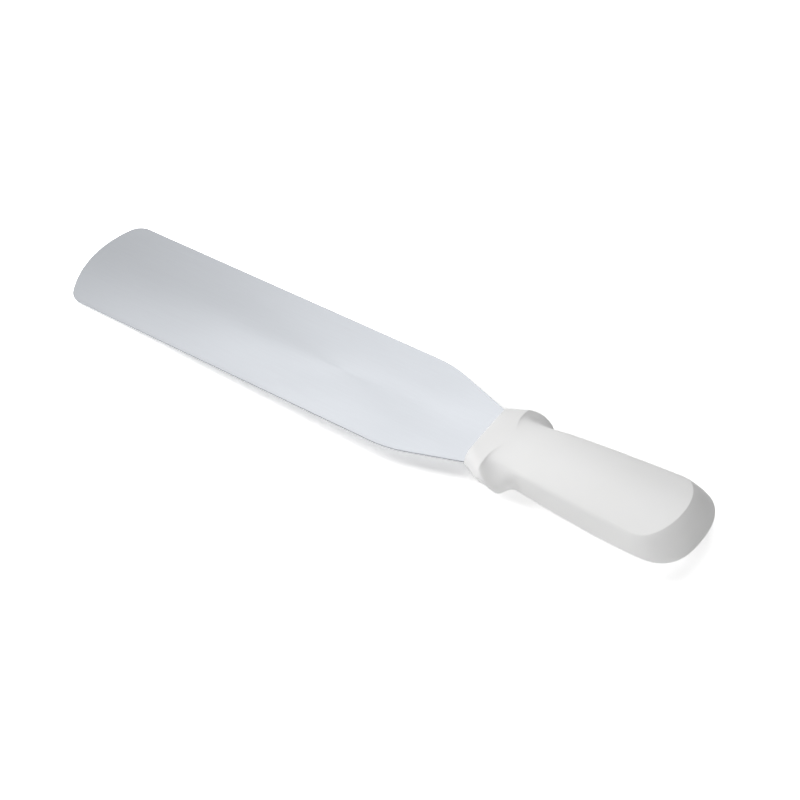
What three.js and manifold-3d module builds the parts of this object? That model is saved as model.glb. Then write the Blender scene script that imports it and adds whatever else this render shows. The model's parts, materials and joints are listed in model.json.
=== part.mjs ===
// Straight icing spatula: a flat spring-steel blade with a hidden tang, in a plastic handle moulded round it.
// Millimetres, +Z up. It lies at rest on its blade tip and the underside of its handle, tip towards -X.
import * as THREE from "three";
import { mergeVertices } from "three/addons/utils/BufferGeometryUtils.js";
import Module from "manifold-3d";

// Blade, seen from above
const bladeLength = 250; // tip to the front face of the handle
const bladeThickness = 1;
const tipWidth = 63.5; // 2 1/2 inches, just behind the rounded tip
const shoulderWidth = 66;
const shoulderSetback = 40; // shoulders to the front face of the handle
const rootWidth = 39.8; // where the blade meets the handle
const tipRadius = 59;
const tipCornerRadius = 9.6;
const shoulderRadius = 61;

// Tang, the narrow tail of the blade inside the handle
const tangLength = 74; // from the front face of the handle
const tangWidth = 22;
const lockHoleDiameter = 8;
const lockHoleSetback = 22; // front face of the handle to the first hole
const lockHoleSpacing = 34;
const lockHoleCount = 2;
const fitClearance = 0.3; // moulded plastic to steel, all round

// Handle, from its front face (the collar) to its butt
const handleLength = 126.6;
const collarLength = 11.5; // front face to the crease behind the collar
const guardSetback = 9; // crease to the widest point of the finger guard
const neckSetback = 9.5; // widest point of the guard to the neck behind it
const endSlope = 12.1; // how far the sloped butt facet runs past the top face
const topRound = 13; // depth of the half-oval that ends the top face
const ridgeRound = 24; // depth of the half-oval at the parting line
const ridgeSquareness = 0.25; // 0 for a true half-oval at the parting line, more for fuller corners
const ridgeDrop = 1.5; // how far the parting line dips at the end of the butt
const bowLength = 45; // stretch before the butt in which the cross-sections start to bow
const gripSwell = 0.3; // 0 for a grip that widens evenly from neck to butt, more for one that widens early
const collarSetback = 1.4; // how far the front face falls back at its top and bottom edges

// Cross-sections of the handle. The width is at the parting line and the thickness on the centre line. The
// edge sizes are at the top and bottom edges, with their radius. A side is straight at a fullness of 1 and
// rounder above it. The lean is how far a section reaches forward at its top and back at its bottom edge.
const collar = {
  width: 40.8,
  thickness: 16.2,
  edgeWidth: 35.6,
  edgeThickness: 15.2,
  edgeRadius: 1.5,
  fullness: 1.5,
  lean: 0,
};
const crease = {
  width: 52.5,
  thickness: 17.2,
  edgeWidth: 47.5,
  edgeThickness: 11.8,
  edgeRadius: 1.2,
  fullness: 2,
  lean: 0,
};
const guard = {
  width: 55,
  thickness: 17.8,
  edgeWidth: 34,
  edgeThickness: 13,
  edgeRadius: 3,
  fullness: 5,
  lean: 4,
};
const neck = {
  width: 40,
  thickness: 18.9,
  edgeWidth: 36.4,
  edgeThickness: 15,
  edgeRadius: 3.5,
  fullness: 1.2,
  lean: 1.5,
};
const butt = {
  width: 55,
  thickness: 25.8,
  edgeWidth: 47.6,
  edgeThickness: 18.8,
  edgeRadius: 0.8,
  fullness: 1.2,
  lean: 0,
};

// Facets of the curved surfaces
const collarSteps = 3;
const scoopSteps = 4;
const notchSteps = 6;
const gripSteps = 12;
const acrossDegrees = [-90, -74, -58, -38, -19, 0, 19, 38, 58, 74, 90];
const heightShares = [-1, -0.62, -0.3, 0, 0.3, 0.62, 1];
const curveSegments = 16;
const holeSegments = 32;

const wasm = await Module();
wasm.setup();

function solidOf(geometry) {
  const bare = geometry.clone();
  bare.deleteAttribute("normal");
  bare.deleteAttribute("uv");
  const merged = mergeVertices(bare);
  return new wasm.Manifold(
    new wasm.Mesh({
      numProp: 3,
      vertProperties: new Float32Array(merged.attributes.position.array),
      triVerts: new Uint32Array(merged.index.array),
    }),
  );
}

function geometryOf(solid) {
  const mesh = solid.getMesh();
  const geometry = new THREE.BufferGeometry();
  geometry.setAttribute("position", new THREE.BufferAttribute(mesh.vertProperties, 3));
  geometry.setIndex(new THREE.BufferAttribute(mesh.triVerts, 1));
  geometry.computeVertexNormals();
  return geometry;
}

// A flat shape made a plate that is centred on the blade's middle plane.
function plate(shape, thickness) {
  const geometry = new THREE.ExtrudeGeometry(shape, { depth: thickness, bevelEnabled: false, curveSegments });
  geometry.translate(0, 0, -thickness / 2);
  return geometry;
}

const lockHolePlaces = Array.from(
  { length: lockHoleCount },
  (_, k) => bladeLength + lockHoleSetback + k * lockHoleSpacing,
);

// Blade outline from the tip round to the tang and back, symmetric about the X axis.
function bladeShape() {
  const half = tipWidth / 2;
  const cornerY = half - tipCornerRadius;
  const cornerX = tipRadius - Math.sqrt((tipRadius - tipCornerRadius) ** 2 - cornerY ** 2);
  const tipAngle = Math.atan2(cornerY, tipRadius - cornerX);
  const vertex = new THREE.Vector2(bladeLength - shoulderSetback, shoulderWidth / 2);
  const root = new THREE.Vector2(bladeLength - fitClearance, rootWidth / 2);
  const sideWay = new THREE.Vector2(cornerX, half).sub(vertex).normalize();
  const taperWay = root.clone().sub(vertex).normalize();
  const turn = Math.PI - Math.acos(sideWay.dot(taperWay));
  const tangent = shoulderRadius * Math.tan(turn / 2);
  const before = vertex.clone().addScaledVector(sideWay, tangent);
  const after = vertex.clone().addScaledVector(taperWay, tangent);
  const tangHalf = tangWidth / 2;
  const tangEnd = bladeLength + tangLength - tangHalf;
  const shape = new THREE.Shape();
  shape.moveTo(root.x, -tangHalf);
  shape.lineTo(root.x, -root.y);
  shape.lineTo(after.x, -after.y);
  shape.quadraticCurveTo(vertex.x, -vertex.y, before.x, -before.y);
  shape.lineTo(cornerX, -half);
  shape.absarc(cornerX, -cornerY, tipCornerRadius, -Math.PI / 2, -Math.PI + tipAngle, true);
  shape.absarc(tipRadius, 0, tipRadius, Math.PI + tipAngle, Math.PI - tipAngle, true);
  shape.absarc(cornerX, cornerY, tipCornerRadius, Math.PI - tipAngle, Math.PI / 2, true);
  shape.lineTo(before.x, before.y);
  shape.quadraticCurveTo(vertex.x, vertex.y, after.x, after.y);
  shape.lineTo(root.x, root.y);
  shape.lineTo(root.x, tangHalf);
  shape.lineTo(tangEnd, tangHalf);
  shape.absarc(tangEnd, 0, tangHalf, Math.PI / 2, -Math.PI / 2, true);
  shape.lineTo(root.x, -tangHalf);
  for (const place of lockHolePlaces) {
    const hole = new THREE.Path();
    hole.absarc(place, 0, lockHoleDiameter / 2, 0, 2 * Math.PI);
    shape.holes.push(hole);
  }
  return shape;
}

// Places of the named cross-sections behind the front face
const creaseAt = collarLength;
const guardAt = creaseAt + guardSetback;
const neckAt = guardAt + neckSetback;
const sideEnd = handleLength - endSlope - topRound;
const ridgeShift = handleLength - ridgeRound - sideEnd;

const linear = (t) => t;
const easeOut = (t) => Math.sin((t * Math.PI) / 2);
const smooth = (t) => t * t * (3 - 2 * t);
const settle = (t) => t * (1 + gripSwell * (1 - t));

// Stretches of the handle between named cross-sections, with the way that the sizes change along each
const stretches = [
  { from: 0, to: creaseAt, first: collar, last: crease, ease: linear, steps: collarSteps },
  { from: creaseAt, to: guardAt, first: crease, last: guard, ease: easeOut, steps: scoopSteps },
  { from: guardAt, to: neckAt, first: guard, last: neck, ease: smooth, steps: notchSteps },
  { from: neckAt, to: sideEnd, first: neck, last: butt, ease: settle, steps: gripSteps },
];

// Every cross-section of the handle in order, each with its place and half sizes.
function handleSections() {
  const sections = [];
  for (const { from, to, first, last, ease, steps } of stretches) {
    for (let k = sections.length ? 1 : 0; k <= steps; k++) {
      const t = k / steps;
      const mix = (size) => THREE.MathUtils.lerp(first[size], last[size], ease(t));
      const at = THREE.MathUtils.lerp(from, to, t);
      sections.push({
        at,
        bow: Math.max(0, 1 - (sideEnd - at) / bowLength) ** 2,
        side: mix("width") / 2,
        edge: mix("edgeWidth") / 2,
        edgeHeight: mix("edgeThickness") / 2,
        crown: mix("thickness") / 2,
        radius: mix("edgeRadius"),
        fullness: mix("fullness"),
        lean: mix("lean"),
        setback: collarSetback * Math.max(0, 1 - at / creaseAt),
      });
    }
  }
  return sections;
}

// How far a rounded edge falls below the sharp one, at a distance from the sharp edge.
function edgeDrop(radius, distance) {
  const inside = Math.max(0, radius - distance);
  return radius - Math.sqrt(radius ** 2 - inside ** 2);
}

// Outer form of the handle: a box whose faces are bent to the cross-sections and to the rounded, sloped butt.
function handleForm() {
  const sections = handleSections();
  const rows = sections.length - 1;
  const columns = acrossDegrees.length - 1;
  const levels = heightShares.length - 1;
  const box = new THREE.BoxGeometry(1, 1, 1, rows, columns, levels);
  box.deleteAttribute("normal");
  box.deleteAttribute("uv");
  const form = mergeVertices(box);
  const position = form.attributes.position;
  const edgePull = 1 - Math.SQRT1_2;
  for (let i = 0; i < position.count; i++) {
    const section = sections[Math.round((position.getX(i) + 0.5) * rows)];
    const angle = THREE.MathUtils.degToRad(acrossDegrees[Math.round((position.getY(i) + 0.5) * columns)]);
    const share = heightShares[Math.round((position.getZ(i) + 0.5) * levels)];
    const { at, bow, side, edge, edgeHeight, crown, radius, fullness, lean, setback } = section;
    const pull = edgePull * radius;
    const spread = 1 - Math.abs(share) ** fullness;
    const roundness = 1 - ridgeSquareness * spread * bow;
    const across = Math.sign(angle) * Math.abs(Math.sin(angle)) ** roundness;
    const along = Math.cos(angle) ** roundness;
    const topY = across * (edge - pull);
    const topDrop = edgeDrop(radius, edge - Math.abs(topY));
    const topHeight = edgeHeight - topDrop + (crown - edgeHeight) * Math.cos(angle) ** 2;
    const depth = topRound + (ridgeRound - topRound) * spread;
    const shift = setback * Math.abs(share) - lean * share;
    position.setXYZ(
      i,
      bladeLength + at + shift + bow * (ridgeShift * spread + depth * along),
      topY + across * (side - edge + pull) * spread,
      share * topHeight - ridgeDrop * spread * bow * along,
    );
  }
  return form;
}

// Room for the tang in the handle, open at the front face, with plastic through the lock holes.
function mouldRound(form) {
  const slotHalf = tangWidth / 2 + fitClearance;
  const slotEnd = bladeLength + tangLength + fitClearance - slotHalf;
  const slotThickness = bladeThickness + 2 * fitClearance;
  const slot = new THREE.Shape();
  slot.moveTo(bladeLength - tangWidth, -slotHalf);
  slot.lineTo(slotEnd, -slotHalf);
  slot.absarc(slotEnd, 0, slotHalf, -Math.PI / 2, Math.PI / 2);
  slot.lineTo(bladeLength - tangWidth, slotHalf);
  slot.closePath();
  let handle = solidOf(form).subtract(solidOf(plate(slot, slotThickness)));
  const postRadius = lockHoleDiameter / 2 - fitClearance;
  const postLength = slotThickness + 2 * bladeThickness;
  for (const place of lockHolePlaces) {
    const post = new THREE.CylinderGeometry(postRadius, postRadius, postLength, holeSegments);
    post.rotateX(Math.PI / 2);
    post.translate(place, 0, 0);
    handle = handle.add(solidOf(post));
  }
  return geometryOf(handle);
}

const steel = new THREE.MeshStandardMaterial({ color: 0xd3d8de, roughness: 0.35, metalness: 1 });
const whitePlastic = new THREE.MeshStandardMaterial({ color: 0xecece9, roughness: 0.45, metalness: 0 });

const blade = new THREE.Mesh(plate(bladeShape(), bladeThickness), steel);
blade.name = "blade";

const form = handleForm();
const handle = new THREE.Mesh(mouldRound(form), whitePlastic);
handle.name = "handle";

// The angle at which the underside of the handle and the lower edge of the tip touch one table.
function restTilt() {
  const position = form.attributes.position;
  let tilt = 0;
  for (let i = 0; i < position.count; i++) {
    const drop = -bladeThickness / 2 - position.getZ(i);
    tilt = Math.max(tilt, Math.atan2(drop, position.getX(i)));
  }
  return tilt;
}

const tool = new THREE.Group();
tool.add(blade, handle);
tool.rotation.y = -restTilt();

// The origin is on the table, under the middle of the part.
const spatula = new THREE.Group();
spatula.add(tool);
const box = new THREE.Box3().setFromObject(spatula, true);
tool.position.set(-(box.min.x + box.max.x) / 2, 0, -box.min.z);

export default spatula;
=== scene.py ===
import bpy
import bmesh
import json
import math
from mathutils import Matrix, Vector


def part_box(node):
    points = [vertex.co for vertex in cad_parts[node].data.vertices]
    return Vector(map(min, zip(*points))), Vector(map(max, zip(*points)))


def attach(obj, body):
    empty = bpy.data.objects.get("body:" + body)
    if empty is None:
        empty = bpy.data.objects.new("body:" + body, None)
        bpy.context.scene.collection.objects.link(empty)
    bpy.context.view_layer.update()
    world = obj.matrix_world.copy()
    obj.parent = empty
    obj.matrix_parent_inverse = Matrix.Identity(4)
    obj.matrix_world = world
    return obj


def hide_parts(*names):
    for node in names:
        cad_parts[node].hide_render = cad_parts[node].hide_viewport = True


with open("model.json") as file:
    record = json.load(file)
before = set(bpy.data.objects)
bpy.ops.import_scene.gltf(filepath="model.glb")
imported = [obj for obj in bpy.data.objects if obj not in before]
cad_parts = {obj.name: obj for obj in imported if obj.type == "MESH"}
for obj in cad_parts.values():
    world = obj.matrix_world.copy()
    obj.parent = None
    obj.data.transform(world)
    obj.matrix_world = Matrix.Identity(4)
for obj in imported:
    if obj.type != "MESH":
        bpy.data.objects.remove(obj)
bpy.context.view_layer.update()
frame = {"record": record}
print("frame loaded")

mm = 0.001
weld = 0.001  # points closer than this many mm are one point
mixFirst, mixSecond, mixResult = 6, 7, 2  # colour sockets of a Mix node
scene = bpy.context.scene
scene.view_settings.view_transform = "Standard"

# the tool lies tip down, so everything is modelled along its own axis and tipped at the end
bladeUp = Vector(frame["record"]["mounts"][0]["axis"])
restTilt = math.atan2(-bladeUp.x, bladeUp.z)
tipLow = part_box("blade")[0]


def linear(hexColour):
    channels = [int(hexColour[i:i + 2], 16) / 255 for i in (1, 3, 5)]
    return tuple(c / 12.92 if c <= 0.04045 else ((c + 0.055) / 1.055) ** 2.4 for c in channels) + (1.0,)


def addNode(tree, kind, settings=None, **links):
    node = tree.nodes.new(kind)
    for name, value in (settings or {}).items():
        if hasattr(node, name):
            setattr(node, name, value)
        else:
            node.inputs[name].default_value = value
    for name, output in links.items():
        # n0, n1 and so on are sockets by number
        socket = int(name[1:]) if name[1:].isdigit() else name.replace("_", " ")
        tree.links.new(output, node.inputs[socket])
    return node


def newMaterial(name):
    material = bpy.data.materials.new(name)
    material.use_nodes = True
    material.node_tree.nodes.clear()
    return material, material.node_tree


def finishPiece(bm, name, node, material):
    half = bladeSpec["thickness"] / 2 * mm
    tip = Matrix.Translation((tipLow.x + half * math.sin(restTilt), 0, tipLow.z + half * math.cos(restTilt)))
    place = tip @ Matrix.Rotation(-restTilt, 4, "Y") @ Matrix.Diagonal((mm, mm, mm, 1))
    bmesh.ops.transform(bm, matrix=place, verts=bm.verts)
    bmesh.ops.recalc_face_normals(bm, faces=bm.faces)
    mesh = bpy.data.meshes.new(name)
    bm.to_mesh(mesh)
    bm.free()
    piece = bpy.data.objects.new(name, mesh)
    scene.collection.objects.link(piece)
    mesh.materials.append(material)
    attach(piece, "root")
    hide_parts(node)
    return piece


# stainless spring steel, rolled and satin-ground along its length: a soft cool sheen with faint long lines
def satinSteel():
    material, tree = newMaterial("satin_ground_stainless_steel")
    coords = addNode(tree, "ShaderNodeTexCoord")
    # grinding lines are about 0.1 mm apart on the real blade, drawn at 0.6 mm so that they show
    lineLength, lineWidth = 90 * mm, 0.6 * mm
    grainMap = addNode(tree, "ShaderNodeMapping", {"Scale": (1 / lineLength, 1 / lineWidth, 1 / lineWidth)},
                       Vector=coords.outputs["Object"])
    grain = addNode(tree, "ShaderNodeTexNoise", {"Scale": 1.0, "Detail": 3.0, "Roughness": 0.6},
                    Vector=grainMap.outputs["Vector"])
    # broad patches where the grinding belt pressed more, about 60 mm long
    patchLength, patchWidth = 60 * mm, 20 * mm
    patchMap = addNode(tree, "ShaderNodeMapping", {"Scale": (1 / patchLength, 1 / patchWidth, 1 / patchWidth)},
                       Vector=coords.outputs["Object"])
    patch = addNode(tree, "ShaderNodeTexNoise", {"Scale": 1.0, "Detail": 1.0}, Vector=patchMap.outputs["Vector"])
    tone = addNode(tree, "ShaderNodeMix", {"data_type": "RGBA"}, Factor=grain.outputs["Fac"])
    tone.inputs[mixFirst].default_value = linear("#a0a2a6")
    tone.inputs[mixSecond].default_value = linear("#a4a7ab")
    rough = addNode(tree, "ShaderNodeMapRange", {"To Min": 0.33, "To Max": 0.43}, Value=patch.outputs["Fac"])
    bump = addNode(tree, "ShaderNodeBump", {"Strength": 0.06, "Distance": 0.02 * mm}, Height=grain.outputs["Fac"])
    steel = addNode(tree, "ShaderNodeBsdfPrincipled", {"Metallic": 1.0, "Anisotropic": 0.35},
                    Base_Color=tone.outputs[mixResult], Roughness=rough.outputs["Result"],
                    Normal=bump.outputs["Normal"])
    addNode(tree, "ShaderNodeOutputMaterial", Surface=steel.outputs["BSDF"])
    return material


# injection-moulded white polypropylene: a soft low gloss over a very fine spark-eroded mould texture
def whitePolypropylene():
    material, tree = newMaterial("moulded_white_polypropylene")
    coords = addNode(tree, "ShaderNodeTexCoord")
    # the mould's pits are about 0.05 mm across, drawn at 0.35 mm so that they catch light in the render
    pits = addNode(tree, "ShaderNodeTexNoise", {"Scale": 1 / (0.35 * mm), "Detail": 2.0, "Roughness": 0.5},
                   Vector=coords.outputs["Object"])
    # the flow of the plastic leaves a faint cloudy tone, about 25 mm from patch to patch
    flow = addNode(tree, "ShaderNodeTexNoise", {"Scale": 1 / (25 * mm), "Detail": 2.0},
                   Vector=coords.outputs["Object"])
    tone = addNode(tree, "ShaderNodeMix", {"data_type": "RGBA"}, Factor=flow.outputs["Fac"])
    tone.inputs[mixFirst].default_value = linear("#eeeeed")
    tone.inputs[mixSecond].default_value = linear("#f3f3f3")
    rough = addNode(tree, "ShaderNodeMapRange", {"To Min": 0.40, "To Max": 0.50}, Value=flow.outputs["Fac"])
    bump = addNode(tree, "ShaderNodeBump", {"Strength": 0.05, "Distance": 0.03 * mm}, Height=pits.outputs["Fac"])
    plastic = addNode(tree, "ShaderNodeBsdfPrincipled", {"IOR": 1.49, "Specular IOR Level": 0.4},
                      Base_Color=tone.outputs[mixResult], Roughness=rough.outputs["Result"],
                      Normal=bump.outputs["Normal"])
    addNode(tree, "ShaderNodeOutputMaterial", Surface=plastic.outputs["BSDF"])
    return material


bladeSpec = {
    "length": 250.0, "thickness": 1.0, "tipWidth": 63.5, "shoulderWidth": 66.0, "shoulderSetback": 40.0,
    "rootWidth": 39.8, "tipRadius": 59.0, "cornerRadius": 9.6, "shoulderRadius": 61.0,
    "seat": 0.5,  # how far the full width runs into the collar
    "tangLength": 74.0, "tangWidth": 22.0, "holeRadius": 4.0, "holePlaces": (56.0, 22.0),
    "edgeRound": 0.22, "edgeSteps": 3, "sharpAngle": 1.2,  # sharper edges than this, in radians, are rounded
    "tipSteps": 24, "turnSteps": 16, "holeSteps": 24,
    "flatNormal": 0.999,  # faces that point up or down as squarely as this stay flat
}


# half of the outline is drawn with straight runs and spun arcs, then mirrored and made a plate
def makeBlade(spec):
    bm = bmesh.new()
    half = spec["tipWidth"] / 2
    cornerY = half - spec["cornerRadius"]
    cornerX = spec["tipRadius"] - math.sqrt((spec["tipRadius"] - spec["cornerRadius"]) ** 2 - cornerY ** 2)
    tipTurn = math.atan2(cornerY, spec["tipRadius"] - cornerX)
    shoulder = Vector((spec["length"] - spec["shoulderSetback"], spec["shoulderWidth"] / 2, 0))
    root = Vector((spec["length"], spec["rootWidth"] / 2, 0))
    sideWay = (shoulder - Vector((cornerX, half, 0))).normalized()
    taperWay = (root - shoulder).normalized()
    bend = sideWay.angle(taperWay)
    tangent = spec["shoulderRadius"] * math.tan(bend / 2)
    before = shoulder - sideWay * tangent
    centre = before + Vector((sideWay.y, -sideWay.x, 0)) * spec["shoulderRadius"]

    def runTo(vert, x, y):
        end = bmesh.ops.extrude_vert_indiv(bm, verts=[vert])["verts"][0]
        end.co = (x, y, 0)
        return end

    def arc(vert, cent, angle, steps):
        out = bmesh.ops.spin(bm, geom=[vert], cent=cent, axis=(0, 0, 1), angle=angle, steps=steps)
        return next(g for g in out["geom_last"] if isinstance(g, bmesh.types.BMVert))

    tip = bm.verts.new((0, 0, 0))
    pen = arc(tip, (spec["tipRadius"], 0, 0), -tipTurn, spec["tipSteps"])
    pen = arc(pen, (cornerX, cornerY, 0), tipTurn - math.pi / 2, spec["turnSteps"])
    pen = runTo(pen, *before.xy)
    pen = arc(pen, centre, -bend, spec["turnSteps"])
    seatX = spec["length"] + spec["seat"]
    pen = runTo(pen, seatX, root.y + taperWay.y / taperWay.x * spec["seat"])
    tangHalf = spec["tangWidth"] / 2
    tangEnd = spec["length"] + spec["tangLength"] - tangHalf
    pen = runTo(pen, seatX, tangHalf)
    pen = runTo(pen, tangEnd, tangHalf)
    pen = arc(pen, (tangEnd, 0, 0), -math.pi / 2, spec["turnSteps"])
    for place in spec["holePlaces"]:  # the centre line goes round each lock hole
        holeX = spec["length"] + place
        pen = runTo(pen, holeX + spec["holeRadius"], 0)
        pen = arc(pen, (holeX, 0, 0), math.pi, spec["holeSteps"])
    bm.edges.new((pen, tip))
    bmesh.ops.remove_doubles(bm, verts=bm.verts, dist=weld)
    bmesh.ops.contextual_create(bm, geom=bm.edges[:])
    bmesh.ops.mirror(bm, geom=bm.verts[:] + bm.edges[:] + bm.faces[:], axis="Y", merge_dist=weld)
    bmesh.ops.recalc_face_normals(bm, faces=bm.faces)
    bmesh.ops.translate(bm, vec=(0, 0, -spec["thickness"] / 2), verts=bm.verts)
    raised = bmesh.ops.extrude_face_region(bm, geom=bm.faces[:], use_keep_orig=True)
    bmesh.ops.translate(bm, vec=(0, 0, spec["thickness"]),
                        verts=[g for g in raised["geom"] if isinstance(g, bmesh.types.BMVert)])
    bmesh.ops.recalc_face_normals(bm, faces=bm.faces)
    rims = [e for e in bm.edges if len(e.link_faces) == 2 and e.calc_face_angle() > spec["sharpAngle"]
            and abs(e.verts[0].co.z - e.verts[1].co.z) < weld]
    bmesh.ops.bevel(bm, geom=rims, offset=spec["edgeRound"], offset_type="OFFSET", affect="EDGES",
                    segments=spec["edgeSteps"], profile=0.5, material=-1, clamp_overlap=True)
    for face in bm.faces:
        face.smooth = abs(face.normal.z) < spec["flatNormal"]
    print("blade:", len(bm.faces), "faces")
    finishPiece(bm, "blade_plate", "blade", satinSteel())


# the lists run along the handle from the collar: a place, then the sizes there, in mm from the middle of the section
handleSpec = {
    "front": 250.0, "length": 125.5, "collarSetback": 1.4, "frontRound": 0.7, "endRound": 1.1, "roundSteps": 3,
    # the butt: slope of the end facet, rounds of the top's end and of the ridge below it, shape of the facet
    "endSlope": 11.0, "topRound": 15.0, "ridgeRound": 24.0, "ridgeFullness": 1.2, "ridgeNose": 0.3,
    "ridgeSquareness": 0.24, "bowLength": 45.0,
    # the crease across the top, and the lean of the cross-sections
    "creasePlace": 10.9, "creaseBow": 3.6, "creaseFade": 30.0, "creasePower": 6, "skew": 0.045,
    # where the scoop is deepest, and the most that rounds may take up: of edge to rim, both rounds, rim to side
    "hollowPlace": 0.38, "edgeShare": 0.45, "roundsShare": 0.95, "sideShare": 0.9, "lowRimRound": 1.0,
    # height of the top on the middle line, and depth of the underside, which touches the floor near the butt
    "crown": [(0, 8.1), (10.9, 8.6), (14, 8.75), (20, 9.1), (30, 9.85), (52, 11.5), (70, 12.4), (85, 12.75),
              (101.5, 12.65)],
    "lowCrown": [(0, 8.1), (10.9, 8.6), (30, 9.45), (52, 10.6), (78, 11.9), (101.5, 12.9)],
    # widest line of the side, which sinks along the guard: half width, height
    "side": [(0, 20.4, 0), (10.9, 25.9, 0.3), (12.4, 26.4, 1.2), (15, 27.0, 0.6), (17, 27.3, -0.2), (19, 27.3, -1.5),
             (21, 27.0, -2.9), (23.6, 26.0, -4.7), (25, 24.1, -5.0), (26.2, 22.1, -4.6), (27.6, 20.6, -4.2),
             (29.2, 19.7, -4.1), (31, 19.5, -4.2), (36, 20.1, -4.4), (52, 21.8, -4.6), (66, 23.4, -4.3),
             (78, 24.9, -3.7), (90, 26.3, -2.5), (101.5, 27.4, -1.2)],
    # soft edge of the top face: half width, height, round
    "topEdge": [(0, 12.0, 7.85, 1.0), (10.9, 16.2, 7.4, 2.4), (11.5, 16.2, 7.08, 3.0), (12.4, 16.3, 6.88, 3.6),
                (14, 16.4, 6.75, 4.0), (16, 16.5, 6.7, 4.0), (19, 16.7, 6.75, 4.0), (23, 17.0, 6.95, 4.0),
                (30, 17.8, 7.4, 3.8), (36, 18.7, 7.75, 3.8), (52, 20.2, 8.2, 3.6), (78, 21.7, 8.8, 3.2),
                (101.5, 22.7, 9.2, 2.4)],
    # outer rim of the land, of the finger scoop behind the crease, then the middle of the grip's side:
    # half width, height, round, dip of the scoop
    "rim": [(0, 18.3, 7.5, 5.0, 0), (10.9, 24.0, 6.1, 4.0, 0), (11.7, 24.6, 5.3, 3.4, 0.15), (13, 25.4, 4.4, 3.0, 0.5),
            (15, 26.5, 3.1, 2.8, 1.0), (17, 27.1, 1.8, 2.8, 1.5), (19, 27.2, 0.4, 2.8, 1.6), (21, 26.9, -1.0, 2.8, 1.5),
            (23.6, 25.7, -2.9, 2.6, 1.0), (25, 23.7, -3.2, 2.6, 0.5), (26.2, 21.6, -2.0, 2.6, 0.2),
            (27.6, 20.0, 0.2, 2.6, 0), (29.2, 19.2, 1.4, 2.6, 0), (31, 19.1, 1.8, 2.6, 0), (36, 19.7, 1.9, 2.6, 0),
            (52, 21.3, 2.0, 2.6, 0), (78, 23.7, 2.7, 2.6, 0), (101.5, 25.4, 4.1, 2.6, 0)],
    # edge of the underside, which has no scoop: half width, height, round
    "lowEdge": [(0, 18.3, 7.5, 4.0), (10.9, 23.8, 6.2, 3.4), (14, 23.6, 6.3, 3.2), (17, 23.4, 6.5, 3.0),
                (20, 23.0, 6.7, 3.0), (23.6, 21.8, 6.9, 3.0), (25.2, 19.8, 7.0, 3.2), (27.2, 17.7, 7.1, 3.4),
                (30, 16.6, 7.4, 3.6), (36, 17.2, 7.75, 3.4), (52, 18.6, 8.4, 2.8), (78, 20.2, 9.2, 2.8),
                (101.5, 20.6, 9.8, 3.0)],
    # grid of the handle: rows along it, columns across in degrees, levels from the parting line to top or underside
    "rowPlaces": [0, 1.6, 3.6, 5.8, 8.0, 9.6, 10.5, 10.9, 11.15, 11.5, 12.0, 12.7, 13.6, 14.8, 16.1, 17.5, 18.9, 20.3,
                  21.6, 22.8, 23.8, 24.6, 25.3, 26.0, 26.8, 27.8, 29.1, 31, 33.3, 36, 39.5, 43.5, 48, 53, 58, 63, 68,
                  73, 78, 83, 88, 92.5, 96.5, 99.5],
    "columnAngles": [0, 10, 20, 30, 40, 49, 57, 64, 70, 75, 79, 83, 86.5, 90],
    "levelShares": [0, 0.06, 0.13, 0.20, 0.29, 0.40, 0.48, 0.54, 0.60, 0.68, 0.78, 0.87, 0.94, 1.0],
    "rimShare": 0.54,  # level of the rim
}


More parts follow.
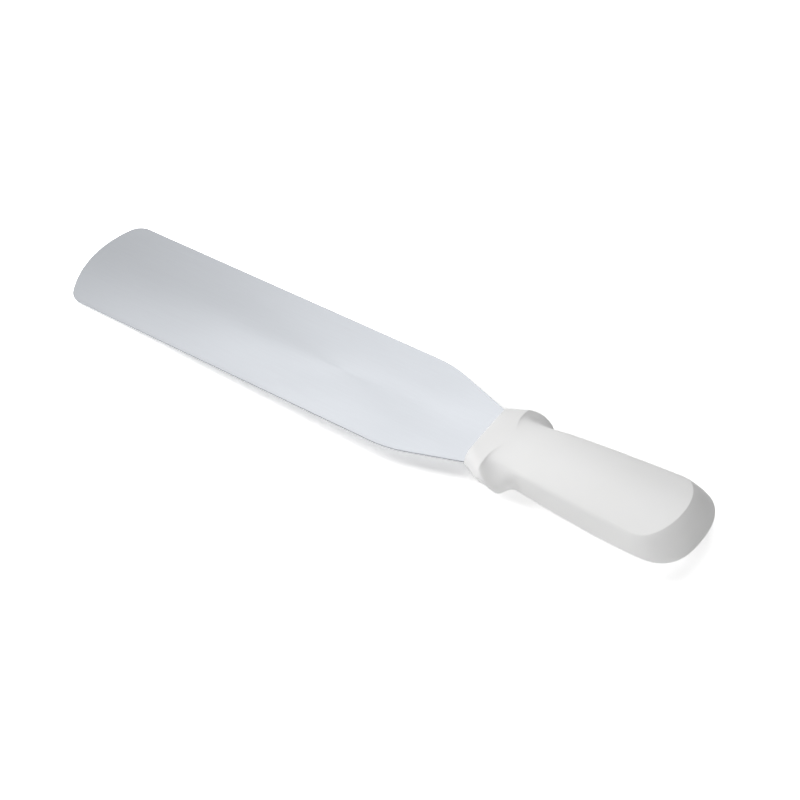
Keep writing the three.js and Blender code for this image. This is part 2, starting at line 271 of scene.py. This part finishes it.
def makeHandle(spec):
    sideEnd = spec["length"] - spec["endSlope"] - spec["topRound"]
    rows = spec["rowPlaces"]
    angles = [-a for a in reversed(spec["columnAngles"][1:])] + spec["columnAngles"]
    shares = [-s for s in reversed(spec["levelShares"][1:])] + spec["levelShares"]

    def along(table, place):  # sizes at a place, on a smooth curve with one corner at the crease
        i = max(n for n in range(len(table) - 1) if table[n][0] <= place + weld)
        a, b = table[i], table[i + 1]
        run = b[0] - a[0]
        t = (place - a[0]) / run

        def slope(n, k):
            if abs(table[n][0] - spec["creasePlace"]) < weld:
                return (b[k] - a[k]) / run
            lo, hi = table[max(n - 1, 0)], table[min(n + 1, len(table) - 1)]
            return (hi[k] - lo[k]) / (hi[0] - lo[0])

        return [(2 * t ** 3 - 3 * t ** 2 + 1) * a[k] + (t ** 3 - 2 * t ** 2 + t) * run * slope(i, k)
                + (3 * t ** 2 - 2 * t ** 3) * b[k] + (t ** 3 - t ** 2) * run * slope(i + 1, k)
                for k in range(1, len(a))]

    def turn(start, corner, end, t):  # point on the round of a corner
        return start.lerp(corner, t).lerp(corner.lerp(end, t), t)

    def section(place, low):  # upper or lower half of a cross-section: top, edge, rim, side
        crown = along(spec["lowCrown" if low else "crown"], place)[0]
        sideY, sideZ = along(spec["side"], place)
        edgeY, edgeZ, edgeRound = along(spec["lowEdge" if low else "topEdge"], place)
        edge, side = Vector((edgeY, edgeZ)), Vector((sideY, -sideZ if low else sideZ))
        if low:
            rim, rimRound, dip = edge.lerp(side, 0.5), spec["lowRimRound"], 0
        else:
            rimY, rimZ, rimRound, dip = along(spec["rim"], place)
            rim = Vector((rimY, rimZ))
        fall = rim - edge
        # a round goes half way to its corner, so the corner lies twice as deep as the scoop
        hollow = edge + fall * spec["hollowPlace"] + Vector((fall.y, -fall.x)).normalized() * dip * 2
        edgeReach = min(spec["edgeShare"], edgeRound / fall.length)
        rimReach = min(spec["roundsShare"] - edgeReach, rimRound / fall.length)
        sideReach = min(spec["sideShare"], rimRound / (side - rim).length)

        def top(y):
            return Vector((y, edgeZ + (crown - edgeZ) * (1 - (y / edgeY) ** 2)))

        def scoop(t):
            return turn(edge, hollow, rim, t)

        def topAt(a):
            left = (1 - a) * edgeY
            if left < edgeRound:
                return turn(top(edgeY - edgeRound), edge, scoop(edgeReach), 0.5 - 0.5 * left / edgeRound)
            return top(a * edgeY)

        def sideAt(h):
            t, u = (1 - h) / (1 - spec["rimShare"]), 1 - h / spec["rimShare"]
            if t < edgeReach:
                return turn(top(edgeY - edgeRound), edge, scoop(edgeReach), 0.5 + 0.5 * t / edgeReach)
            if t <= 1 - rimReach:
                return scoop(t)
            if u < sideReach:
                nearRim = 0.5 + 0.5 * u / sideReach if u > 0 else 0.5 - 0.5 * (1 - t) / rimReach
                return turn(scoop(1 - rimReach), rim, rim.lerp(side, sideReach), nearRim)
            return rim.lerp(side, u)

        return topAt, sideAt

    # a plain block is sliced into a grid, and each grid point goes to its place on the handle
    bm = bmesh.new()
    size = (len(rows) - 1, len(angles) - 1, len(shares) - 1)
    bmesh.ops.create_cube(bm, size=1, matrix=Matrix.Translation(Vector(size) / 2) @ Matrix.Diagonal((*size, 1)))
    for axis in range(3):
        for cut in range(1, size[axis]):
            normal = [0, 0, 0]
            normal[axis] = 1
            bmesh.ops.bisect_plane(bm, geom=bm.verts[:] + bm.edges[:] + bm.faces[:], dist=weld,
                                   plane_co=[n * cut for n in normal], plane_no=normal)
    ridgeShift = spec["length"] - spec["ridgeRound"] - sideEnd
    sections = [(section(p, False), section(p, True)) for p in rows]
    grid = {}
    for vert in bm.verts:
        i, j, k = (round(c) for c in vert.co)
        grid[vert] = (i, j, k)
        place, angle, share = rows[i], math.radians(angles[j]), shares[k]
        topAt, sideAt = sections[i][share < 0]
        h, bow = abs(share), max(0, 1 - (sideEnd - place) / spec["bowLength"]) ** 2
        # how far the end facet has run out from the top, with a blunt nose at the parting line
        nose = spec["ridgeNose"]
        down = (math.hypot(h, nose) - nose) / (math.hypot(1, nose) - nose)
        spread = 1 - down ** spec["ridgeFullness"]
        squareness = 1 - spec["ridgeSquareness"] * spread * bow
        across, lengthwise = abs(math.sin(angle)) ** squareness, max(0, math.cos(angle)) ** squareness
        top, edge, side = topAt(min(1, across)), topAt(1), sideAt(h)
        depth = spec["topRound"] + (spec["ridgeRound"] - spec["topRound"]) * spread
        setback = spec["collarSetback"] * max(0, 1 - place / spec["creasePlace"]) * h
        # on the top the crease line bows back towards the middle
        nearCrease = min(place / spec["creasePlace"],
                         max(0, 1 - (place - spec["creasePlace"]) / spec["creaseFade"]))
        setback += spec["creaseBow"] * nearCrease * h ** spec["creasePower"] * (1 - across ** 2) ** 2
        y = math.copysign(top.x * side.x / edge.x, angle) if j != size[1] / 2 else 0
        # collar, crease and butt stand a little askew in the photo
        setback += spec["skew"] * y
        vert.co = (spec["front"] + place + setback + bow * (ridgeShift * spread + depth * lengthwise), y,
                   math.copysign(1, share) * top.y * side.y / edge.y)

    def inRow(verts, row):
        return all(grid[v][0] == row for v in verts)

    # the collar's front edge, and the end of the top and of the underside; the small faces beside them hold these
    # rounds down, and the smoothing adds to them
    frontRim = [e for e in bm.edges if inRow(e.verts, 0) and sum(inRow(f.verts, 0) for f in e.link_faces) == 1]
    endRim = [e for e in bm.edges if inRow(e.verts, size[0]) and all(grid[v][2] in (0, size[2]) for v in e.verts)]
    for rim, reach in ((frontRim, spec["frontRound"]), (endRim, spec["endRound"])):
        bmesh.ops.bevel(bm, geom=rim, offset=reach, offset_type="OFFSET", affect="EDGES",
                        segments=spec["roundSteps"], profile=0.5, material=-1, clamp_overlap=True)
    bmesh.ops.dissolve_degenerate(bm, dist=weld, edges=bm.edges)
    for face in bm.faces:
        face.smooth = True
    print("handle:", len(bm.faces), "faces before smoothing")
    handle = finishPiece(bm, "handle_moulding", "handle", whitePolypropylene())
    smoothing = handle.modifiers.new("smoothing", "SUBSURF")
    smoothing.levels = smoothing.render_levels = 1


makeBlade(bladeSpec)
makeHandle(handleSpec)
print("pieces made")


# matt white paper sweep: white to the camera, and close to the middle of the tool it keeps the soft shadow; from 0.1 m
# out a painted glow rises to pure white, which also lightens the shadow by the butt; the seen colour is over 1, so that
# the plain light on the paper comes out white
floorSpec = {"size": 8.0, "colour": "#e8e8e8", "seenColour": (1.4, 1.4, 1.4, 1), "glow": 0.2, "farGlow": 1.0,
             "fadeStart": 0.1, "fadeEnd": 0.6}


def makeFloor(spec):
    bm = bmesh.new()
    bmesh.ops.create_grid(bm, x_segments=1, y_segments=1, size=spec["size"] / 2)
    mesh = bpy.data.meshes.new("floor")
    bm.to_mesh(mesh)
    bm.free()
    floor = bpy.data.objects.new("floor", mesh)
    scene.collection.objects.link(floor)
    material, tree = newMaterial("white_paper_sweep_and_painted_glow")
    path = addNode(tree, "ShaderNodeLightPath")
    seen = addNode(tree, "ShaderNodeMath", {"operation": "MAXIMUM"}, n0=path.outputs["Is Camera Ray"],
                   n1=path.outputs["Is Glossy Ray"])
    tone = addNode(tree, "ShaderNodeMix", {"data_type": "RGBA"}, Factor=seen.outputs["Value"])
    tone.inputs[mixFirst].default_value = linear(spec["colour"])
    tone.inputs[mixSecond].default_value = spec["seenColour"]
    paper = addNode(tree, "ShaderNodeBsdfDiffuse", Color=tone.outputs[mixResult])
    coords = addNode(tree, "ShaderNodeTexCoord")
    away = addNode(tree, "ShaderNodeVectorMath", {"operation": "LENGTH"}, n0=coords.outputs["Object"])
    # painted glow: it rises from 0.1 m out towards pure white, and so lightens the floor's shadow by the butt
    fade = addNode(tree, "ShaderNodeMapRange", {"From Min": spec["fadeStart"], "From Max": spec["fadeEnd"],
                                                "To Min": spec["glow"], "To Max": spec["farGlow"]},
                   Value=away.outputs["Value"])
    level = addNode(tree, "ShaderNodeMath", {"operation": "MULTIPLY"}, n0=seen.outputs["Value"],
                    n1=fade.outputs["Result"])
    glow = addNode(tree, "ShaderNodeEmission", Strength=level.outputs["Value"])
    both = addNode(tree, "ShaderNodeAddShader", n0=paper.outputs["BSDF"], n1=glow.outputs["Emission"])
    addNode(tree, "ShaderNodeOutputMaterial", Surface=both.outputs["Shader"])
    mesh.materials.append(material)


makeFloor(floorSpec)

# plain soft studio light: a low key box beyond the tip, a fill on the near right, and a panel on the far side,
# whose reflection brightens the blade towards the handle
lightSpec = {
    "room": 0.01,
    "lamps": [
        {"name": "key_softbox", "place": (-0.94, 0.0, 0.465), "size": 0.6, "power": 10.0, "glare": False},
        {"name": "fill_softbox", "place": (0.51, -0.78, 0.63), "size": 0.6, "power": 5.5, "glare": False},
        {"name": "far_panel", "place": (-0.2, 0.41, 0.99), "size": 0.78, "power": 4.3, "glare": True},
    ],
}


def makeLight(spec):
    world = bpy.data.worlds.new("pale_room")
    world.use_nodes = True
    tree = world.node_tree
    tree.nodes.clear()
    path = addNode(tree, "ShaderNodeLightPath")
    seen = addNode(tree, "ShaderNodeMath", {"operation": "MAXIMUM"}, n0=path.outputs["Is Camera Ray"],
                   n1=path.outputs["Is Glossy Ray"])
    level = addNode(tree, "ShaderNodeMapRange", {"To Min": spec["room"], "To Max": 1.0}, Value=seen.outputs["Value"])
    room = addNode(tree, "ShaderNodeBackground", {"Color": (1, 1, 1, 1)}, Strength=level.outputs["Result"])
    addNode(tree, "ShaderNodeOutputWorld", Surface=room.outputs["Background"])
    scene.world = world
    for lamp in spec["lamps"]:
        data = bpy.data.lights.new(lamp["name"], "AREA")
        data.shape = "SQUARE"
        data.size = lamp["size"]
        data.energy = lamp["power"]
        light = bpy.data.objects.new(lamp["name"], data)
        light.location = lamp["place"]
        light.rotation_euler = Vector(lamp["place"]).to_track_quat("Z", "Y").to_euler()
        light.visible_glossy = lamp["glare"]
        scene.collection.objects.link(light)


makeLight(lightSpec)

cameraSpec = {"aim": (0.00916, 0.00035, 0.00463), "azimuth": 32.633, "elevation": 49.611, "distance": 1.5,
              "lens": 130.32, "sensor": 36.0}


def makeCamera(spec):
    data = bpy.data.cameras.new("camera")
    data.sensor_width = spec["sensor"]
    data.lens = spec["lens"]
    camera = bpy.data.objects.new("camera", data)
    az, el = math.radians(spec["azimuth"]), math.radians(spec["elevation"])
    back = Vector((math.sin(az) * math.cos(el), -math.cos(az) * math.cos(el), math.sin(el)))
    camera.location = Vector(spec["aim"]) + back * spec["distance"]
    camera.rotation_euler = back.to_track_quat("Z", "Y").to_euler()
    scene.collection.objects.link(camera)
    scene.camera = camera


makeCamera(cameraSpec)
print("stage, light and camera set")
